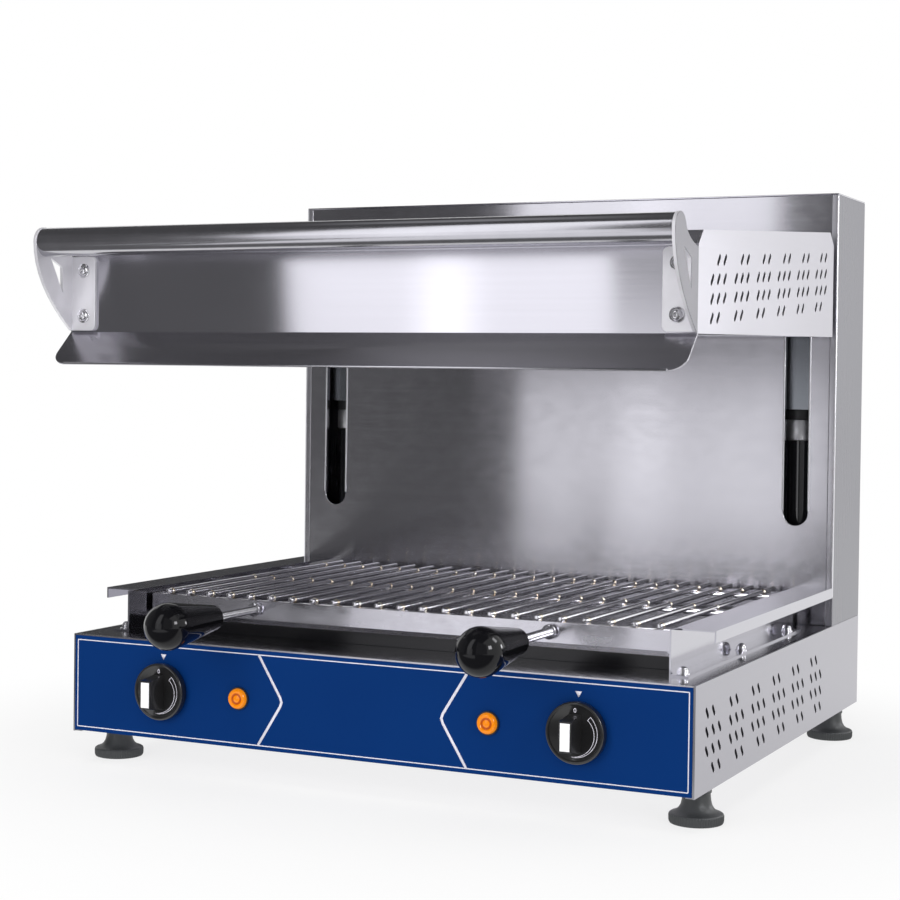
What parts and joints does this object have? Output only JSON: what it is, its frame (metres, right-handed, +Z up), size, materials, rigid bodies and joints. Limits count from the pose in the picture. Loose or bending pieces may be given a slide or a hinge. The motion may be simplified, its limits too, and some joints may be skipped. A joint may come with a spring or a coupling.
{
  "type": "lift-head salamander grill",
  "caption": "Electric salamander grill with a heated hood that lifts on a rear column, a sliding rod grid with handles, and a control panel with dials and lamps.",
  "frame": {"origin": "on the floor, in the middle of the footprint's box", "axes": "+X to the grill's right as its user faces it, +Y to the rear, +Z up"},
  "size_m": [0.616, 0.6366, 0.547],
  "materials": {
    "panel_steel": "brushed stainless sheet",
    "splash_steel": "brushed stainless sheet, vertical grain",
    "visor_steel": "bright rolled stainless sheet",
    "polished_steel": "polished",
    "grid_chrome": "chrome plated wire",
    "fastener_steel": "plain stainless fasteners",
    "blue_film": "printed satin film",
    "black_enamel": "gloss enamel",
    "zinc_steel": "zinc plated",
    "clamp_alloy": "machined",
    "cylinder_paint": "gloss black paint",
    "bushing_brass": "machined",
    "reflector_alloy": "bright rolled",
    "element_sheath": "dark oxide",
    "ring_rubber": "matte",
    "foot_plastic": "satin moulded",
    "gland_plastic": "moulded",
    "ivory_plastic": "moulded",
    "black_gloss": "polished",
    "lamp_collar": "moulded",
    "lens_amber": "clear",
    "inlay_metal": "satin"
  },
  "bodies": {
    "base": {"base_side_left": "panel_steel", "base_side_right": "panel_steel", "base_top_plate": "panel_steel", "base_floor": "panel_steel", "front_panel": "panel_steel", "control_overlay": "blue_film", "rear_cover": "panel_steel", "column_splash": "splash_steel", "column_side_left": "panel_steel", "column_side_right": "panel_steel", "column_cap": "panel_steel", "guide_rods": "polished_steel", "guide_rod_blocks": "zinc_steel", "piston_rods": "polished_steel", "piston_rod_anchors": "zinc_steel", "rail_left": "panel_steel", "rail_right": "panel_steel", "rail_bolts": "fastener_steel", "drip_tray": "black_enamel", "terminal_block": "ivory_plastic", "cable_gland": "gland_plastic", "heat_regulators": "ivory_plastic", "pilot_lenses": "lens_amber", "pilot_bodies": "lamp_collar"},
    "hood": {"hood_front": "panel_steel", "hood_side_left": "panel_steel", "hood_side_right": "panel_steel", "hood_top": "panel_steel", "hood_rear": "panel_steel", "visor": "visor_steel", "bracket_left": "panel_steel", "bracket_right": "panel_steel", "bracket_screws": "fastener_steel", "handle_tube": "polished_steel", "reflector": "reflector_alloy", "element_left": "element_sheath", "element_right": "element_sheath", "element_hangers": "zinc_steel", "lift_arms": "panel_steel", "cross_beam": "zinc_steel", "guide_bushings": "bushing_brass", "spring_cylinders": "cylinder_paint", "spring_clamps": "clamp_alloy", "bumper_rings": "ring_rubber"},
    "grid": {"grid_frame": "panel_steel", "grid_rods": "grid_chrome", "grid_cross_bars": "grid_chrome", "grid_handle_rods": "polished_steel", "grid_grips": "black_gloss"},
    "dial_left": {"dial_left": "black_gloss", "dial_inlay_left": "inlay_metal", "dial_shaft_left": "polished_steel"},
    "dial_right": {"dial_right": "black_gloss", "dial_inlay_right": "inlay_metal", "dial_shaft_right": "polished_steel"},
    "foot_front_left": {"foot_front_left": "foot_plastic"},
    "foot_front_right": {"foot_front_right": "foot_plastic"},
    "foot_rear_left": {"foot_rear_left": "foot_plastic"},
    "foot_rear_right": {"foot_rear_right": "foot_plastic"}
  },
  "joints": [
    {"name": "hood_slide", "type": "slide", "parent": "base", "child": "hood", "axis": [0, 0, 1], "range_m": [-0.17, 0]},
    {"name": "grid_slide", "type": "slide", "parent": "base", "child": "grid", "axis": [0, -1, 0], "range_m": [0, 0.22]},
    {"name": "dial_left_turn", "type": "hinge", "parent": "base", "child": "dial_left", "pos_m": [-0.201, -0.22375, 0.075], "axis": [0, 1, 0], "range_deg": [0, 300]},
    {"name": "dial_right_turn", "type": "hinge", "parent": "base", "child": "dial_right", "pos_m": [0.201, -0.22375, 0.075], "axis": [0, 1, 0], "range_deg": [0, 300]},
    {"name": "foot_front_left_thread", "type": "hinge", "parent": "base", "child": "foot_front_left", "pos_m": [-0.285, -0.17175, 0], "axis": [0, 0, 1], "continuous": true},
    {"name": "foot_front_right_thread", "type": "hinge", "parent": "base", "child": "foot_front_right", "pos_m": [0.285, -0.17175, 0], "axis": [0, 0, 1], "continuous": true},
    {"name": "foot_rear_left_thread", "type": "hinge", "parent": "base", "child": "foot_rear_left", "pos_m": [-0.285, 0.25525, 0], "axis": [0, 0, 1], "continuous": true},
    {"name": "foot_rear_right_thread", "type": "hinge", "parent": "base", "child": "foot_rear_right", "pos_m": [0.285, 0.25525, 0], "axis": [0, 0, 1], "continuous": true}
  ]
}
